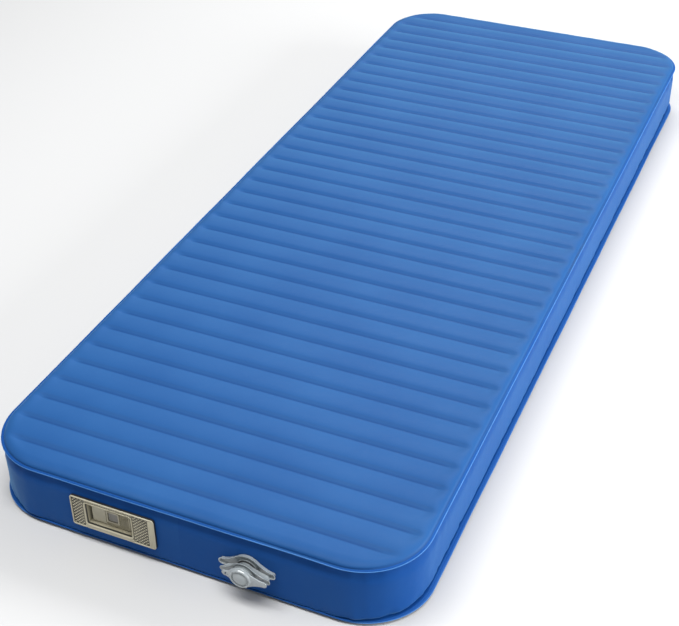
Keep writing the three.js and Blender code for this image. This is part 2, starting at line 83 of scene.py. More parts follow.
def addNode(material, kind, settings=None, values=None, links=None):
    node = material.node_tree.nodes.new(kind)
    for name, value in (settings or {}).items():
        setattr(node, name, value)
    for socket, value in (values or {}).items():
        node.inputs[socket].default_value = value
    for socket, source in (links or {}).items():
        material.node_tree.links.new(source, node.inputs[socket])
    return node


def newMaterial(name, shaderValues):
    material = bpy.data.materials.new(name)
    material.use_nodes = True
    shader = material.node_tree.nodes["Principled BSDF"]
    for socket, value in shaderValues.items():
        shader.inputs[socket].default_value = value
    return material, shader


def connect(material, source, node, socket):
    material.node_tree.links.new(source, node.inputs[socket])


def smoothStep(low, high, value):
    t = min(1.0, max(0.0, (value - low) / (high - low)))
    return t * t * (3 - 2 * t)


def makePiece(name, bm, material, body, replaced=(), sharpAngle=40):
    bmesh.ops.remove_doubles(bm, verts=bm.verts, dist=1e-6)
    bmesh.ops.recalc_face_normals(bm, faces=bm.faces)
    mesh = bpy.data.meshes.new(name)
    bm.to_mesh(mesh)
    bm.free()
    for polygon in mesh.polygons:
        polygon.use_smooth = True
    mesh.set_sharp_from_angle(angle=math.radians(sharpAngle))
    mesh.materials.append(material)
    piece = bpy.data.objects.new(name, mesh)
    bpy.context.collection.objects.link(piece)
    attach(piece, body)
    if replaced:
        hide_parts(*replaced)
    return piece


# A foot-wall part is drawn as seen from outside: x to the right, y up, z out of the wall.
fromWall = Matrix(((1, 0, 0, 0), (0, 0, -1, wallFaceY), (0, 1, 0, 0), (0, 0, 0, 1)))


fabric = {
    # the weld colour is painted shade for the weld grooves and the rim seam
    "topColour": "17457A", "wallColour": "104182", "paleColour": "3A70A4", "weldShadeColour": "10386C",
    "sheenTint": "7FC0E0", "roughness": 0.55, "weaveBump": 0.06, "creaseBump": 0.2,
    "threadPitch": 1.1,   # mm, several real threads wide so that it shows
}


# TPU-coated polyester taffeta, heat welded: a satin film that still shows the weave below it.
def coatedPolyester(name, colour, specular, sheen):
    material, shader = newMaterial(name, {
        "Roughness": fabric["roughness"], "IOR": 1.49, "Specular IOR Level": specular,
        "Sheen Weight": sheen, "Sheen Roughness": 0.35, "Sheen Tint": linearColour(fabric["sheenTint"])})
    place = addNode(material, "ShaderNodeUVMap", {"uv_map": "cloth"})
    threads = {"Scale": 0.31 / (fabric["threadPitch"] * mm), "Distortion": 0.3}   # scale 1 is 3.2 a metre
    warp = addNode(material, "ShaderNodeTexWave", {"wave_type": "BANDS", "bands_direction": "X"}, threads,
                   {"Vector": place.outputs["UV"]})
    weft = addNode(material, "ShaderNodeTexWave", {"wave_type": "BANDS", "bands_direction": "Y"}, threads,
                   {"Vector": place.outputs["UV"]})
    weave = addNode(material, "ShaderNodeMath", {"operation": "MAXIMUM"}, {},
                    {0: warp.outputs["Fac"], 1: weft.outputs["Fac"]})
    grain = addNode(material, "ShaderNodeTexNoise", {}, {"Scale": 90, "Detail": 5, "Roughness": 0.6},
                    {"Vector": place.outputs["UV"]})
    cloud = addNode(material, "ShaderNodeTexNoise", {}, {"Scale": 6, "Detail": 3},
                    {"Vector": place.outputs["UV"]})
    tint = addNode(material, "ShaderNodeMixRGB", {"blend_type": "MIX"},
                   {"Color1": linearColour(colour), "Color2": linearColour(fabric["paleColour"])})
    ramp = addNode(material, "ShaderNodeMapRange", {},
                   {"From Min": 0.35, "From Max": 0.75, "To Min": 0.0, "To Max": 0.10},
                   {"Value": cloud.outputs["Fac"]})
    connect(material, ramp.outputs["Result"], tint, "Fac")
    # painted shade: the 'weld' attribute darkens the colour in the weld grooves and along the rim seam,
    # where the creases fall into shade
    weldShadeMask = addNode(material, "ShaderNodeAttribute", {"attribute_name": "weld"})
    line = addNode(material, "ShaderNodeMapRange", {}, {"From Min": 0.35, "To Max": 0.75},
                   {"Value": weldShadeMask.outputs["Fac"]})
    weldShaded = addNode(material, "ShaderNodeMixRGB", {}, {"Color2": linearColour(fabric["weldShadeColour"])},
                     {"Fac": line.outputs["Result"], "Color1": tint.outputs["Color"]})
    connect(material, weldShaded.outputs["Color"], shader, "Base Color")
    rough = addNode(material, "ShaderNodeMapRange", {},
                    {"To Min": fabric["roughness"] - 0.08, "To Max": fabric["roughness"] + 0.08},
                    {"Value": grain.outputs["Fac"]})
    connect(material, rough.outputs["Result"], shader, "Roughness")
    fine = addNode(material, "ShaderNodeBump", {}, {"Strength": fabric["weaveBump"], "Distance": 0.2 * mm},
                   {"Height": weave.outputs["Value"]})
    crease = addNode(material, "ShaderNodeBump", {},
                     {"Strength": fabric["creaseBump"], "Distance": 0.3 * mm},
                     {"Height": grain.outputs["Fac"], "Normal": fine.outputs["Normal"]})
    connect(material, crease.outputs["Normal"], shader, "Normal")
    return material


# Injection-moulded ABS with a fine spark-eroded grain: champagne, satin, slightly paler where handled.
def mouldedAbs(name, colour, wornColour, roughness=0.38):
    material, shader = newMaterial(name, {"IOR": 1.53, "Roughness": roughness})
    place = addNode(material, "ShaderNodeTexCoord")
    grit = addNode(material, "ShaderNodeTexNoise", {}, {"Scale": 1 / (0.6 * mm), "Detail": 3},
                   {"Vector": place.outputs["Object"]})
    blotch = addNode(material, "ShaderNodeTexNoise", {}, {"Scale": 60, "Detail": 4},
                     {"Vector": place.outputs["Object"]})
    edge = addNode(material, "ShaderNodeNewGeometry")
    worn = addNode(material, "ShaderNodeMapRange", {},
                   {"From Min": 0.5, "From Max": 0.62, "To Min": 0.0, "To Max": 0.5},
                   {"Value": edge.outputs["Pointiness"]})
    mixed = addNode(material, "ShaderNodeMath", {"operation": "ADD", "use_clamp": True}, {},
                    {0: worn.outputs["Result"]})
    patch = addNode(material, "ShaderNodeMapRange", {},
                    {"From Min": 0.4, "From Max": 0.7, "To Min": 0.0, "To Max": 0.25},
                    {"Value": blotch.outputs["Fac"]})
    connect(material, patch.outputs["Result"], mixed, 1)
    tint = addNode(material, "ShaderNodeMixRGB", {},
                   {"Color1": linearColour(colour), "Color2": linearColour(wornColour)},
                   {"Fac": mixed.outputs["Value"]})
    connect(material, tint.outputs["Color"], shader, "Base Color")
    bump = addNode(material, "ShaderNodeBump", {}, {"Strength": 0.15, "Distance": 0.05 * mm},
                   {"Height": grit.outputs["Fac"]})
    connect(material, bump.outputs["Normal"], shader, "Normal")
    shine = addNode(material, "ShaderNodeMapRange", {},
                    {"To Min": roughness - 0.07, "To Max": roughness + 0.1},
                    {"Value": blotch.outputs["Fac"]})
    connect(material, shine.outputs["Result"], shader, "Roughness")
    return material


# A plain moulded, drawn or wrapped finish: one colour with faint cloudiness and a fine grain.
def plainFinish(name, colour, secondColour, shaderValues, grainSize=0.8, bumpStrength=0.12):
    material, shader = newMaterial(name, shaderValues)
    place = addNode(material, "ShaderNodeTexCoord")
    cloud = addNode(material, "ShaderNodeTexNoise", {}, {"Scale": 45, "Detail": 4},
                    {"Vector": place.outputs["Object"]})
    grit = addNode(material, "ShaderNodeTexNoise", {}, {"Scale": 1 / (grainSize * mm), "Detail": 2},
                   {"Vector": place.outputs["Object"]})
    tint = addNode(material, "ShaderNodeMixRGB", {},
                   {"Color1": linearColour(colour), "Color2": linearColour(secondColour)},
                   {"Fac": cloud.outputs["Fac"]})
    connect(material, tint.outputs["Color"], shader, "Base Color")
    bump = addNode(material, "ShaderNodeBump", {}, {"Strength": bumpStrength, "Distance": 0.05 * mm},
                   {"Height": grit.outputs["Fac"]})
    connect(material, bump.outputs["Normal"], shader, "Normal")
    return material


# The same moulding with painted shade darkening the roots between the knurls: colour follows the distance
# out of the wall.
def knurledAbsRootShade(name, rootY, tipY, rootShadeColour, tipColour):
    material = mouldedAbs(name, tipColour, tipColour)
    shader = material.node_tree.nodes["Principled BSDF"]
    painted = shader.inputs["Base Color"].links[0].from_socket
    place = addNode(material, "ShaderNodeTexCoord")
    parts = addNode(material, "ShaderNodeSeparateXYZ", {}, {}, {"Vector": place.outputs["Object"]})
    # painted shade: the colour goes dark towards the knurls' roots
    depth = addNode(material, "ShaderNodeMapRange", {}, {"From Min": rootY, "From Max": tipY},
                    {"Value": parts.outputs["Y"]})
    mixed = addNode(material, "ShaderNodeMixRGB", {}, {"Color1": linearColour(rootShadeColour)},
                    {"Fac": depth.outputs["Result"], "Color2": painted})
    connect(material, mixed.outputs["Color"], shader, "Base Color")
    return material


topFabric = coatedPolyester("topCoatedPolyester", fabric["topColour"], 0.12, 0.4)
wallFabric = coatedPolyester("wallCoatedPolyester", fabric["wallColour"], 0.06, 0.3)
beadFilm = plainFinish("pressedWeldEdge", "3568A4", "4074B0",
                       {"IOR": 1.49, "Roughness": 0.5, "Specular IOR Level": 0.2})
champagneAbs = mouldedAbs("champagneAbs", "989179", "C0BBA8")
greyAbs = mouldedAbs("greyAbs", "6F6D68", "8C8983", 0.45)
greyPvc = plainFinish("softGreyPvc", "8A9194", "9BA2A5",
                      {"IOR": 1.53, "Roughness": 0.26, "Coat Weight": 0.7}, 1.2, 0.06)
webFilm = plainFinish("webFilm", "5F86BC", "7A9CCB", {"IOR": 1.49, "Roughness": 0.55})
nitrile = plainFinish("nitrileRubber", "1C1D1F", "2A2B2E", {"IOR": 1.52, "Roughness": 0.75})
silicone = plainFinish("siliconeRubber", "C3C7C9", "D6D9DA",
                       {"IOR": 1.41, "Roughness": 0.35, "Transmission Weight": 0.3})
platedSteel = plainFinish("platedSteel", "A9ABAE", "BFC1C4", {"Metallic": 1.0, "Roughness": 0.3}, 0.3)
solderMask = plainFinish("solderMask", "174D31", "1F6040", {"IOR": 1.5, "Roughness": 0.35})
shrinkWrap = plainFinish("shrinkWrap", "235B79", "2F7094", {"IOR": 1.53, "Roughness": 0.25})

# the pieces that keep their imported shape
carriedFinishes = {
    "pump_housing": champagneAbs, "port_seal": nitrile, "port_flap": silicone, "impeller": greyAbs,
    "motor_shaft": platedSteel, "motor": platedSteel, "circuit_board": solderMask, "button_switch": nitrile,
    "battery": shrinkWrap, "charge_socket": platedSteel, "valve_seal": nitrile, "valve_diaphragm": silicone,
    "module_cap": champagneAbs, "module_body": champagneAbs, "power_button": greyAbs,
    "deflate_nozzle": greyAbs, "inflate_nozzle": champagneAbs,
}
for index in range(1, 37):
    carriedFinishes[f"beam_{index:02d}"] = webFilm
for node, finish in carriedFinishes.items():
    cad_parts[node].data.materials.clear()
    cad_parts[node].data.materials.append(finish)
print("stage: materials")

skin = {
    "channels": 37, "rowsPerChannel": 12, "endRows": 24, "columns": 96, "edgeRoll": 19, "crown": 7.6,   # mm
    "weldDepth": 5.2, "weldFade": 26, "landPower": 2.1, "crestLean": 0.64, "lipWidth": 4.5,
    "outlineRadius": 115, "lowerLipExtra": 4.5, "lipDroop": 1.6, "thickness": 0.7, "pucker": 0.6,
    # rimShadeLine and weldShadeLine are the widths of the painted shade along the rim seam and the weld
    # grooves
    "beadRadius": 0.8, "rimShadeLine": 1.5, "weldShadeLine": 2.5, "filmRise": 0.8,
}
pitch = mattressLength / skin["channels"]
lip = skin["lipWidth"] * mm
halfX = mattressWidth / 2 - lip              # the line of the wall's welds
halfY = mattressLength / 2 - lip
cornerRadius = skin["outlineRadius"] * mm - lip


def insideSeam(x, y):      # distance in from the weld line, across the rounded outline
    overX = abs(x) - (halfX - cornerRadius)
    overY = abs(y) - (halfY - cornerRadius)
    if overX > 0 and overY > 0:
        return cornerRadius - math.hypot(overX, overY)
    return min(halfX - abs(x), halfY - abs(y))


def seamHalfWidth(y):
    over = abs(y) - (halfY - cornerRadius)
    if over <= 0:
        return halfX
    return halfX - cornerRadius + math.sqrt(max(0.0, cornerRadius ** 2 - over ** 2))


def channelHeight(x, y):   # height of a sheet above its weld line
    inward = insideSeam(x, y)
    t = min(1.0, max(0.0, inward / (skin["edgeRoll"] * mm)))
    edge = math.sqrt(max(0.0, 1 - (1 - t) ** 2))
    across = (y + mattressLength / 2) / pitch
    place = (across - math.floor(across)) ** skin["crestLean"]     # the crest leans to the foot-side weld
    land = 1 - abs(2 * place - 1) ** skin["landPower"]
    if across < 0.5 or across > skin["channels"] - 0.5:
        land = 1.0
    depth = skin["weldDepth"] * smoothStep(2 * mm, skin["weldFade"] * mm, inward)
    ripple = noise.noise(Vector((x * 38, y * 38, 1.7))) * smoothStep(0.06, 0.0, inward) * edge
    return (skin["crown"] * edge - depth * (1 - land) + skin["pucker"] * ripple) * mm


def channelRows():         # a row on every weld, closer together where the ends roll down
    rows = set()
    for channel in range(skin["channels"]):
        start = -mattressLength / 2 + channel * pitch
        first, last = channel == 0, channel == skin["channels"] - 1
        count = skin["endRows"] if first or last else skin["rowsPerChannel"]
        for step in range(count + 1):
            t = step / count
            t = t * t if first else 1 - (1 - t) ** 2 if last else t
            rows.add(round(max(-halfY, min(halfY, start + t * pitch)), 6))
    return sorted(rows)


def channelledSkin(name, seamZ, facing, lipOut, lipDrop, material, node):
    rows = channelRows()
    bm = bmesh.new()
    weld = bm.verts.layers.float.new("weld")
    last = len(rows) - 1
    grid = bmesh.ops.create_grid(bm, x_segments=skin["columns"], y_segments=last, size=0.5)["verts"]
    for vert in grid:
        across = vert.co.x * 2
        y = rows[round((vert.co.y + 0.5) * last)]
        x = (math.sin(across * math.pi / 2) * 0.8 + across * 0.2) * seamHalfWidth(y)   # finer at the sides
        vert.co = (x, y, seamZ + facing * channelHeight(x, y))
        # the 'weld' attribute marks painted shade along each groove and round the rim seam
        toWeld = abs((y / pitch) % 1 - 0.5) * pitch
        inward = insideSeam(x, y)
        rimShadeLine = math.exp(-(inward / (skin["rimShadeLine"] * mm)) ** 2)
        weldShadeLine = math.exp(-(toWeld / (skin["weldShadeLine"] * mm)) ** 2) * smoothStep(0.01, 0.04, inward)
        vert[weld] = max(rimShadeLine, weldShadeLine)
    for out, drop in ((lipOut * 0.5, lipDrop * 0.3), (lipOut * 0.5, lipDrop * 0.7)):
        rim = [edge for edge in bm.edges if edge.is_boundary]
        fresh = bmesh.ops.extrude_edge_only(bm, edges=rim)["geom"]
        for vert in [item for item in fresh if isinstance(item, bmesh.types.BMVert)]:
            centre = Vector((max(cornerRadius - halfX, min(halfX - cornerRadius, vert.co.x)),
                             max(cornerRadius - halfY, min(halfY - cornerRadius, vert.co.y)), vert.co.z))
            wave = 0.5 + noise.noise(Vector((vert.co.x * 7, vert.co.y * 7, seamZ * 30)))
            outward = (vert.co - centre).normalized()
            vert.co += outward * (out if facing > 0 else out * (0.2 + 0.8 * abs(outward.x)))
            vert.co.z -= drop * wave
            vert[weld] = 0.0
    cloth = bm.loops.layers.uv.new("cloth")
    for face in bm.faces:
        for loop in face.loops:
            loop[cloth].uv = (loop.vert.co.x, loop.vert.co.y)
    piece = makePiece(name, bm, material, "mattress", [node], 60)
    midway = piece.data.polygons[len(piece.data.polygons) // 2]
    if midway.normal.z * facing < 0:
        piece.data.flip_normals()
    solid = piece.modifiers.new("ply", "SOLIDIFY")
    solid.thickness = skin["thickness"] * mm
    solid.offset = -1
    return piece


droop = skin["lipDroop"] * mm
upperLipZ = topSeamZ + skin["filmRise"] * mm
lowerLipZ = bottomSeamZ - skin["filmRise"] * mm
lowerLip = lip + skin["lowerLipExtra"] * mm
channelledSkin("topSkin", upperLipZ, 1, lip, droop, topFabric, "top_sheet")
channelledSkin("bottomSkin", lowerLipZ, -1, lowerLip, 2 * droop, wallFabric, "bottom_sheet")
print("stage: skins")

wall = {
    "columns": 900, "rows": 30, "lipRows": 2, "uvLength": 5.28,   # metres once round
    "weldInset": 2.5, "swell": 6.0, "upperReach": 30, "lowerReach": 14, "pucker": 1.2,   # mm
    "cornerPucker": 2.0, "puckerReach": 20, "sag": 1.6, "notch": 3.4,
    "neckHole": 18, "tubLeft": 22, "tubRight": 38, "tubRim": 4, "lipShare": 0.97,
}


def alongOutline(share, outset):      # a point and its closeness to a corner, a share of the way round
    straightX, straightY = halfX - cornerRadius, halfY - cornerRadius
    arc = math.pi / 2 * cornerRadius
    way = (share % 1.0) * 4 * (straightX + straightY + arc)
    legs = [
        (straightX, (0, -halfY), (1, 0)), (arc, (straightX, -straightY), -90),
        (2 * straightY, (halfX, -straightY), (0, 1)), (arc, (straightX, straightY), 0),
        (2 * straightX, (straightX, halfY), (-1, 0)), (arc, (-straightX, straightY), 90),
        (2 * straightY, (-halfX, straightY), (0, -1)), (arc, (-straightX, -straightY), 180),
        (straightX, (-straightX, -halfY), (1, 0)),
    ]
    for length, start, heading in legs[:-1]:
        if way <= length:
            break
        way -= length
    else:
        length, start, heading = legs[-1]
    if isinstance(heading, int):
        angle = math.radians(heading) + way / cornerRadius
        outward = Vector((math.cos(angle), math.sin(angle), 0))
        return Vector((*start, 0)) + outward * (cornerRadius + outset), 1.0
    outward = Vector((heading[1], -heading[0], 0))
    point = Vector((start[0] + heading[0] * way, start[1] + heading[1] * way, 0))
    near = abs(abs(point.x) - straightX) if heading[0] else abs(abs(point.y) - straightY)
    return point + outward * outset, smoothStep(0.14, 0.0, near)


def wallOutset(point, t, corner, sideways):     # how far the wall stands out of its weld
    height = topSeamZ - bottomSeamZ
    fromWeld = min(t, 1 - t) * height
    reach = wall["upperReach"] if t > 0.5 else wall["lowerReach"] * (0.2 + 0.8 * sideways)
    swell = wall["swell"] * smoothStep(0.0, reach * mm, fromWeld) - wall["weldInset"]
    near = math.exp(-fromWeld / (wall["puckerReach"] * mm)) * smoothStep(0.0, 4 * mm, fromWeld)
    fold = noise.noise(Vector((point.x * 30, point.y * 30, t * 2)))
    fold += noise.noise(Vector((point.x * 75, point.y * 75, t * 3 + 5)))
    low = smoothStep(0.16, 0.0, t) * smoothStep(0.0, 3 * mm, fromWeld)
    sag = wall["sag"] * (0.7 + noise.noise(Vector((point.x * 11, point.y * 11, 8.5))))
    notch = wall["notch"] * max(0.0, noise.noise(Vector((point.x * 46, point.y * 46, 2.5))) - 0.25) * 3
    pucker = (wall["pucker"] + wall["cornerPucker"] * corner) * near * fold
    return (swell + pucker + low * (sag - notch) * sideways) * mm


# The tub, inside its welded flange, and the valve's middle as seen on the wall.
tubLow = Vector((bayLow.x + wall["tubLeft"] * mm, 0, bayLow.z + wall["tubRim"] * mm))
tubHigh = Vector((bayHigh.x - wall["tubRight"] * mm, 0, bayHigh.z - wall["tubRim"] * mm))
valveCentre = Vector(((baseLow.x + baseHigh.x) / 2, (baseLow.z + baseHigh.z) / 2, 0))


def sideWallSkin():
    columns, rows, lipRows = wall["columns"], wall["rows"], wall["lipRows"]
    height = topSeamZ - bottomSeamZ
    bm = bmesh.new()
    grid = bmesh.ops.create_grid(bm, x_segments=columns, y_segments=rows, size=0.5)["verts"]
    laid = {}
    for vert in grid:
        share, row = vert.co.x + 0.5, round((vert.co.y + 0.5) * rows)
        toEdge = min(row, rows - row)
        if toEdge < lipRows:
            point, _ = alongOutline(share, lip * (1 - toEdge / lipRows) * wall["lipShare"])
            z = bottomSeamZ if row < lipRows else topSeamZ
        else:
            t = (row - lipRows) / (rows - 2 * lipRows)
            t = t * 0.5 + (1 - math.cos(t * math.pi)) * 0.25      # closer rows by the welds
            middle, corner = alongOutline(share, 0)
            sideways = abs((alongOutline(share, 1)[0] - middle).x)
            point, _ = alongOutline(share, wallOutset(middle, t, corner, sideways))
            z = bottomSeamZ + t * height
        vert.co = (point.x, point.y, z)
        laid[vert] = (share * wall["uvLength"], z)
    cloth = bm.loops.layers.uv.new("cloth")
    for face in bm.faces:
        for loop in face.loops:
            loop[cloth].uv = laid[loop.vert]
    # the bay's tub and the valve's neck come through the foot wall
    gone = []
    for face in bm.faces:
        middle = face.calc_center_median()
        inBay = tubLow.x < middle.x < tubHigh.x and tubLow.z < middle.z < tubHigh.z
        inNeck = math.hypot(middle.x - valveCentre.x, middle.z - valveCentre.y) < wall["neckHole"] * mm
        if middle.y < 0 and (inBay or inNeck):
            gone.append(face)
    bmesh.ops.delete(bm, geom=gone, context="FACES")
    piece = makePiece("wallSkin", bm, wallFabric, "mattress", ["side_wall"], 60)
    midway = piece.data.polygons[len(piece.data.polygons) // 2]
    if midway.normal.y * midway.center.y < 0:
        piece.data.flip_normals()
    solid = piece.modifiers.new("ply", "SOLIDIFY")
    solid.thickness = skin["thickness"] * mm
    solid.offset = -1
    return piece


sideWallSkin()


# The cut edge of each weld is rolled into a fine bead.
def lipBead(name, z, out, sideways, radius):
    bm = bmesh.new()
    grid = bmesh.ops.create_grid(bm, x_segments=wall["columns"], y_segments=8, size=0.5)["verts"]
    cloth = bm.loops.layers.uv.new("cloth")
    laid = {}
    for vert in grid:
        share, angle = vert.co.x + 0.5, (vert.co.y + 0.5) * 2 * math.pi
        middle, _ = alongOutline(share, 0)
        edge, _ = alongOutline(share, 1)
        reach = out * (1 - sideways + sideways * abs((edge - middle).x))
        point, _ = alongOutline(share, reach + math.cos(angle) * radius)
        wave = 0.5 + noise.noise(Vector((point.x * 7, point.y * 7, z * 30)))
        drop = droop * (wave if sideways == 0 else 2 * wave)
        laid[vert] = (share * wall["uvLength"], angle * radius)
        vert.co = (point.x, point.y, z - drop + math.sin(angle) * radius)
    for face in bm.faces:
        for loop in face.loops:
            loop[cloth].uv = laid[loop.vert]
    return makePiece(name, bm, beadFilm, "mattress", [], 80)


lipBead("upperLipBead", upperLipZ, lip, 0, skin["beadRadius"] * mm)
lipBead("lowerLipBead", lowerLipZ, lowerLip, 0.8, skin["beadRadius"] * mm)
print("stage: side wall")


# Closed rings of edges, which loft joins into a moulded part.
def roundedRing(bm, width, height, radius, x, y, z, steps=6):
    known = set(bm.edges)
    half = Vector((width / 2, height / 2, 0))
    signs = ((1, 1), (-1, 1), (-1, -1), (1, -1))
    corners = [bm.verts.new((x + half.x * i, y + half.y * j, z)) for i, j in signs]
    bm.faces.new(corners)
    bmesh.ops.bevel(
        bm, geom=corners, offset=radius, segments=steps, profile=0.5, affect="VERTICES", material=-1)
    edges = [edge for edge in bm.edges if edge not in known]
    inside = [face for face in bm.faces if all(edge in edges for edge in face.edges)]
    bmesh.ops.delete(bm, geom=inside, context="FACES_ONLY")
    return edges


def roundRing(bm, radius, x, y, z, steps=48):
    known = set(bm.edges)
    bmesh.ops.create_circle(bm, segments=steps, radius=radius, matrix=Matrix.Translation((x, y, z)))
    return [edge for edge in bm.edges if edge not in known]


def wingRing(bm, centre, radius, leftReach, rightReach, tip, z, steps=10):
    shoulder = math.radians(50)
    body = Vector((radius * math.cos(shoulder), radius * math.sin(shoulder), 0))
    lead = radius / 3
    points = []
    for side, reach in ((1, rightReach), (-1, leftReach)):
        tipX = side * (reach - tip)
        start = Vector((tipX, tip, 0))
        curve = interpolate_bezier(
            start, start - Vector((side * lead, 0, 0)),
            Vector((side * (body.x + lead * math.sin(shoulder)), body.y - lead * math.cos(shoulder), 0)),
            Vector((side * body.x, body.y, 0)), steps)
        arc = [Vector((tipX + side * tip * math.cos(a), tip * math.sin(a), 0))
               for a in [math.pi / 2 * k / 6 for k in range(6)]]
        dome = [Vector((side * radius * math.cos(a), radius * math.sin(a), 0))
                for a in [shoulder + (math.pi / 2 - shoulder) * k / 6 for k in range(1, 6)]]
        points.append(arc + list(curve) + dome)
    top = points[0] + [Vector((0, radius, 0))] + points[1][::-1]
    low = [Vector((p.x, -p.y, 0)) for p in top[::-1]][1:-1]
    verts = [bm.verts.new(Vector((centre.x, centre.y, z)) + p) for p in top + low]
    return [bm.edges.new((verts[i - 1], verts[i])) for i in range(len(verts))]


def loft(bm, rings, closed=True):
    for first, second in zip(rings, rings[1:] + (rings[:1] if closed else [])):
        bmesh.ops.bridge_loops(bm, edges=first + second)


plate = {
    "rim": 2.4, "rimRise": 1.7, "edgeRound": 0.9, "knurlPitch": 6.2, "knurlHeight": 1.1, "dotPitch": 4.2,
    "dotRadius": 1.3, "bezel": 4.6, "cornerRadius": 5, "openingRadius": 1.4, "smoothEnd": 9,   # mm
    "bayMargin": 4.6, "bayRise": 1.6, "knurlFoot": 0.66, "knurlTip": 0.4,
    # the root colour is painted shade in the hollows between the knurls
    "rootShadeColour": "17150F", "tipColour": "AFA993",
}


def evenPlaces(first, last, spacing):
    count = max(1, round((last - first) / spacing))
    return [first + i * (last - first) / count for i in range(count + 1)]


def pumpFaceplate():
    bm = bmesh.new()
    width, height = plateHigh.x - plateLow.x, plateHigh.z - plateLow.z
    x, y = (plateHigh.x + plateLow.x) / 2, wallMiddleZ
    front = wallFaceY - plateLow.y
    back = weldClearance
    bayWidth, bayHeight = bayEndToEnd(), bodyHigh.z - bodyLow.z + plate["bayRise"] * mm
    bayX = (capLow.x + bodyHigh.x) / 2
    radius, rim, rise = plate["cornerRadius"] * mm, plate["rim"] * mm, plate["rimRise"] * mm
    soft = plate["edgeRound"] * mm

    def outer(inset, z):
        return roundedRing(bm, width - 2 * inset, height - 2 * inset, max(radius - inset, 1 * mm), x, y, z)

    def opening(grow, z):
        corner = plate["openingRadius"] * mm + grow
        return roundedRing(bm, bayWidth + 2 * grow, bayHeight + 2 * grow, corner, bayX, y, z)

    bezel = plate["bezel"] * mm
    field = front - rise
    # round the edge and over the rim, down to the knurled field, over the bezel and through the opening
    loft(bm, [
        outer(0, back), outer(0, front - soft), outer(soft * 0.3, front - soft * 0.3), outer(soft, front),
        outer(rim - 0.3 * mm, front), outer(rim, front - 0.15 * mm), outer(rim + 0.4 * mm, field),
        opening(bezel, field + 0.2 * mm), opening(bezel - 0.4 * mm, front - 0.1 * mm),
        opening(bezel - 0.8 * mm, front), opening(bezel - 1.6 * mm, front - 0.1 * mm),
        opening(0.2 * mm, front - 2.7 * mm), opening(0, front - 3.0 * mm), opening(0, back + 1.9 * mm),
        outer(2.2 * mm, back + 1.6 * mm), outer(2.2 * mm, back),
    ])
    bay = {"left": bayX - bayWidth / 2 - bezel, "right": bayX + bayWidth / 2 + bezel,
           "low": y - bayHeight / 2 - bezel, "high": y + bayHeight / 2 + bezel}
    half = plate["knurlPitch"] * mm / 2
    edge = {"left": x - width / 2 + rim, "right": x + width / 2 - rim,
            "low": y - height / 2 + rim, "high": y + height / 2 - rim}
    smoothEnd = edge["right"] - plate["smoothEnd"] * mm
    top = front - 0.25 * mm
    strip = field + 0.35 * mm
    for low, high, level in (((bay["left"], edge["low"]), (bay["right"], bay["low"]), top),
                             ((bay["left"], bay["high"]), (bay["right"], edge["high"]), strip),
                             ((smoothEnd, edge["low"]), (edge["right"], edge["high"]), top)):
        size = Vector((high[0] - low[0] + 0.4 * mm, high[1] - low[1] + 0.4 * mm, level - back - 2 * mm))
        middle = Vector(((low[0] + high[0]) / 2, (low[1] + high[1]) / 2, level - size.z / 2))
        placed = Matrix.Translation(middle) @ Matrix.Diagonal((*size, 1))
        block = bmesh.ops.create_cube(bm, size=1, matrix=placed)["verts"]
        upper = level - 0.1 * mm
        edges = list({e for vert in block for e in vert.link_edges if all(v.co.z > upper for v in e.verts)})
        bmesh.ops.bevel(
            bm, geom=edges, offset=0.3 * mm, segments=2, profile=0.5, affect="EDGES", material=-1)
    knurl = plate["knurlHeight"] * mm
    for start, end in ((edge["left"], bay["left"]), (bay["right"], smoothEnd)):
        columns = round((end - start) / half)
        lines = round((edge["high"] - edge["low"]) / half)
        for i in range(1, columns):
            for j in range(1, lines):
                if (i + j) % 2 == 0:
                    px = start + i * (end - start) / columns
                    py = edge["low"] + j * (edge["high"] - edge["low"]) / lines
                    placed = Matrix.Translation((px, py, field + knurl / 2 - 0.1 * mm))
                    bmesh.ops.create_cone(
                        bm, cap_ends=True, segments=4, radius1=half * plate["knurlFoot"],
                        radius2=half * plate["knurlTip"], depth=knurl + 0.2 * mm, matrix=placed)
    dotPitch = plate["dotPitch"] * mm
    stripY, endX = (bay["high"] + edge["high"]) / 2, smoothEnd + dotPitch * 0.6
    dots = [(px, stripY, strip)
            for px in evenPlaces(bay["left"] + dotPitch, bay["right"] - dotPitch, dotPitch)]
    dots += [(endX, py, top)
             for py in evenPlaces(edge["low"] + dotPitch, edge["high"] - dotPitch, dotPitch)]
    for px, py, level in dots:
        placed = Matrix.Translation((px, py, level)) @ Matrix.Diagonal((1, 1, 0.6, 1))
        bmesh.ops.create_uvsphere(
            bm, u_segments=10, v_segments=6, radius=plate["dotRadius"] * mm, matrix=placed)
    bmesh.ops.transform(bm, matrix=fromWall, verts=bm.verts)
    rootY = wallFaceY - field
    # the knurl roots get painted shade, darkest at the field level
    knurled = knurledAbsRootShade("knurledAbsRootShade", rootY, rootY - 0.6 * mm, plate["rootShadeColour"], plate["tipColour"])
    return makePiece("knurledFaceplate", bm, knurled, "mattress", ["pump_faceplate"], 30)


def bayEndToEnd():
    nozzleLow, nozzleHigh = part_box("deflate_nozzle")[0].x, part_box("inflate_nozzle")[1].x
    return nozzleHigh - nozzleLow + plate["bayMargin"] * mm


pumpFaceplate()
print("stage: faceplate")

valve = {
    "baseRadius": 26.5, "baseReach": 49, "baseTip": 6.5, "neck": 17, "neckBore": 14,   # mm
    "capRadius": 22.5, "capLeft": 40, "capRight": 46.7, "capTip": 5.5, "boss": 11, "bore": 8, "skirt": 13.4,
    "plugRadius": 19.5, "plugLeft": 32.8, "plugRight": 44, "plugTip": 5.5, "plugBoss": 18, "plugDish": 14,
    "plugSkirt": 7.4, "slotFromTip": 7, "slotWidth": 2.4, "slotLength": 4.6,
}


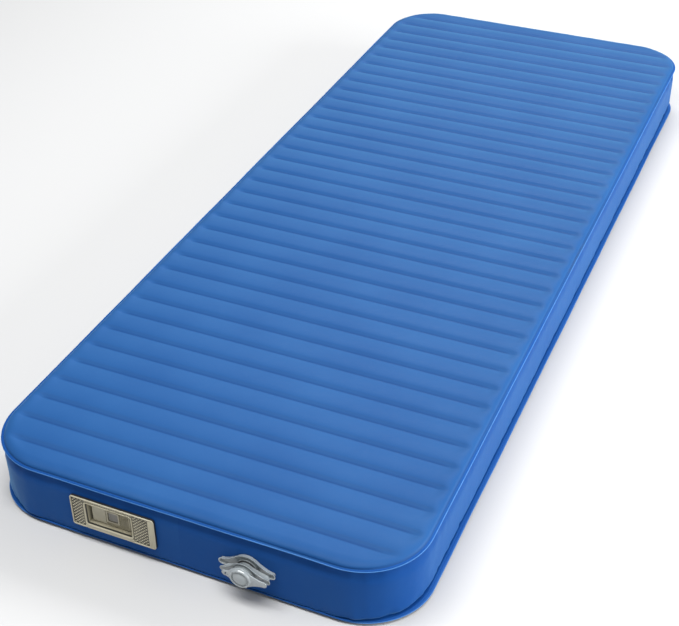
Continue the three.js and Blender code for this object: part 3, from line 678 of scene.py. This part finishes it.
def wing(bm, kind, inset, z):
    left, right = ("Reach", "Reach") if kind == "base" else ("Left", "Right")
    return wingRing(
        bm, valveCentre, (valve[kind + "Radius"] - inset) * mm, (valve[kind + left] - inset) * mm,
        (valve[kind + right] - inset) * mm, max(valve[kind + "Tip"] - inset, 0.8) * mm, z * mm)


def disc(bm, radius, z):
    return roundRing(bm, radius * mm, valveCentre.x, valveCentre.y, z * mm)


def profile(bm, points):      # rings from (plan, inset or radius, distance out of the wall)
    return [disc(bm, size, z) if plan == "disc" else wing(bm, plan, size, z) for plan, size, z in points]


def valveBase():
    bm = bmesh.new()
    neck, bore = valve["neck"], valve["neckBore"]
    loft(bm, profile(bm, [
        ("base", 2.6, 0.3), ("base", 2.0, 1.2), ("base", 1.5, 4.4), ("base", 0.4, 6.0), ("base", 0, 6.5),
        ("base", 0.3, 6.9), ("base", 0.9, 7.0), ("base", 1.5, 6.8), ("base", 1.9, 6.2), ("base", 3.2, 3.6),
        ("base", 4.6, 2.5), ("base", 5.2, 2.3), ("disc", neck, 2.25), ("disc", neck, 5.4),
        ("disc", neck - 0.6, 6.0), ("disc", bore + 0.6, 5.95), ("disc", bore, 5.4), ("disc", bore, -12),
        ("disc", neck, -11.95), ("disc", neck, 0.35)]))
    bmesh.ops.transform(bm, matrix=fromWall, verts=bm.verts)
    return makePiece("valveBaseDish", bm, greyPvc, "mattress", ["valve_base"], 50)


def valveCap():
    bm = bmesh.new()
    boss, bore, skirt = valve["boss"], valve["bore"], valve["skirt"]
    loft(bm, profile(bm, [
        ("cap", 8.6, 7.5), ("cap", 8.2, 8.2), ("cap", 5.0, 13.0), ("cap", 1.2, 18.2), ("cap", 0.2, 19.2),
        ("cap", 0.2, 19.7), ("cap", 0.6, 20.0), ("cap", 1.1, 19.9), ("cap", 1.5, 19.5), ("cap", 2.4, 18.3),
        ("cap", 3.2, 17.9), ("disc", 17.2, 17.85), ("disc", 16.9, 18.1), ("disc", 16.6, 19.2),
        ("disc", 16.1, 19.5), ("disc", 14.9, 19.6), ("disc", 14.6, 19.9), ("disc", 14.3, 21.0),
        ("disc", 13.8, 21.3), ("disc", 12.6, 21.4), ("disc", 12.2, 21.8), ("disc", boss, 22.6),
        ("disc", boss, 24.0), ("disc", boss - 0.5, 24.5), ("disc", bore + 0.4, 24.45), ("disc", bore, 24.1),
        ("disc", bore, 3.45), ("disc", skirt - 0.4, 3.4), ("disc", skirt, 3.8), ("disc", skirt, 7.55)]))
    bmesh.ops.transform(bm, matrix=fromWall, verts=bm.verts)
    return makePiece("valveCapDish", bm, greyPvc, "valve_cap", ["valve_cap"], 50)


def valvePlug():
    bm = bmesh.new()
    boss, dish, skirt = valve["plugBoss"], valve["plugDish"], valve["plugSkirt"]
    rings = profile(bm, [
        ("disc", 0.6, 21.55), ("disc", skirt - 0.4, 21.5), ("disc", skirt, 21.9), ("disc", skirt, 25.05),
        ("plug", 0.9, 25.0), ("plug", 0.2, 25.5), ("plug", 0, 26.2), ("plug", 0.1, 26.8),
        ("plug", 0.5, 27.2), ("plug", 1.1, 27.4), ("disc", boss + 0.5, 27.6), ("disc", boss - 0.1, 28.2),
        ("disc", boss - 0.4, 29.8), ("disc", boss - 0.9, 30.6), ("disc", boss - 1.8, 31.0),
        ("disc", dish + 1.0, 31.2), ("disc", dish + 0.5, 31.0), ("disc", dish + 0.2, 30.4),
        ("disc", dish, 29.3), ("disc", dish - 0.7, 29.0), ("disc", dish - 1.1, 29.4),
        ("disc", dish - 1.6, 29.9), ("disc", dish - 4, 31.0), ("disc", dish - 7, 31.8),
        ("disc", dish - 10, 32.3), ("disc", 0.6, 32.5)])
    loft(bm, rings, closed=False)
    for end in (rings[0], rings[-1]):
        bmesh.ops.edgeloop_fill(bm, edges=end)
    bmesh.ops.transform(bm, matrix=fromWall, verts=bm.verts)
    piece = makePiece("valvePlugDisc", bm, greyPvc, "valve_plug", ["valve_plug"], 50)
    hole = bmesh.new()
    slotX = valveCentre.x - (valve["plugLeft"] - valve["slotFromTip"]) * mm
    slotSize = Matrix.Diagonal((valve["slotWidth"] * mm, valve["slotLength"] * mm, 6 * mm, 1))
    placed = Matrix.Translation((slotX, valveCentre.y, 26.2 * mm)) @ slotSize
    bmesh.ops.create_cube(hole, size=1, matrix=placed)
    bmesh.ops.transform(hole, matrix=fromWall, verts=hole.verts)
    cutter = bpy.data.objects.new("slotCutter", bpy.data.meshes.new("slotCutter"))
    hole.to_mesh(cutter.data)
    hole.free()
    bpy.context.collection.objects.link(cutter)
    slot = piece.modifiers.new("slot", "BOOLEAN")
    slot.operation, slot.solver, slot.object = "DIFFERENCE", "EXACT", cutter
    bpy.context.view_layer.update()
    evaluated = piece.evaluated_get(bpy.context.evaluated_depsgraph_get())
    pierced = bpy.data.meshes.new_from_object(evaluated)
    piece.modifiers.clear()
    piece.data = pierced
    bpy.data.objects.remove(cutter)
    return piece


valveBase()
valveCap()
valvePlug()
print("stage: valve")

studio = {
    "floor": "B8B8B8", "floorReach": 9, "worldStrength": 0.40,
    "keyPower": 218, "topPower": 148, "headPower": 128, "glintPower": 1.2,
}


def studioFloor():
    bm = bmesh.new()
    ground = Matrix.Translation((0, 0, cadLow.z))
    bmesh.ops.create_grid(bm, x_segments=1, y_segments=1, size=studio["floorReach"], matrix=ground)
    mesh = bpy.data.meshes.new("studioFloor")
    bm.to_mesh(mesh)
    bm.free()
    shade = linearColour(studio["floor"])
    paper, _ = newMaterial("paperSweep", {"Roughness": 0.9, "Base Color": shade})
    mesh.materials.append(paper)
    floor = bpy.data.objects.new("studioFloor", mesh)
    bpy.context.collection.objects.link(floor)


def areaLight(name, place, target, size, power, colour="FFFFFF"):
    light = bpy.data.lights.new(name, "AREA")
    light.shape = "RECTANGLE"
    light.size, light.size_y = size
    light.energy = power
    light.color = linearColour(colour)[:3]
    lamp = bpy.data.objects.new(name, light)
    lamp.location = place
    lamp.rotation_euler = (Vector(target) - Vector(place)).to_track_quat("-Z", "Y").to_euler()
    bpy.context.collection.objects.link(lamp)


studioFloor()
areaLight("keyRight", (3.5, 0.3, 1.0), (0, 0, 0.05), (3.6, 1.4), studio["keyPower"])
areaLight("topFront", (0.0, -1.4, 3.3), (0, 0.2, 0), (3.4, 0.9), studio["topPower"])
areaLight("headHigh", (-0.3, 2.6, 3.0), (0, 0.9, 0), (2.4, 1.4), studio["headPower"])
areaLight("valveGlint", (0.85, -3.2, 0.75), (0.12, -1.0, 0.06), (0.14, 0.14), studio["glintPower"])
world = bpy.data.worlds.new("paleStudio")
world.use_nodes = True
world.node_tree.nodes["Background"].inputs["Color"].default_value = linearColour("F2F5F8")
world.node_tree.nodes["Background"].inputs["Strength"].default_value = studio["worldStrength"]
bpy.context.scene.world = world
bpy.context.scene.view_settings.view_transform = "Standard"

camera = {
    "place": (0.8076, -2.1841, 1.5335), "right": (0.916484, 0.400003, -0.007450),
    "forward": (-0.327696, 0.739871, -0.587543), "lens": 68.15,
}
studioCamera = bpy.data.objects.new("studioCamera", bpy.data.cameras.new("studioCamera"))
lookRight, lookForward = Vector(camera["right"]), Vector(camera["forward"])
lookUp = lookRight.cross(lookForward)
turned = Matrix((lookRight, lookUp, -lookForward)).transposed().to_4x4()
studioCamera.matrix_world = Matrix.Translation(camera["place"]) @ turned
studioCamera.data.lens = camera["lens"]
studioCamera.data.sensor_width = 36
bpy.context.collection.objects.link(studioCamera)
bpy.context.scene.camera = studioCamera
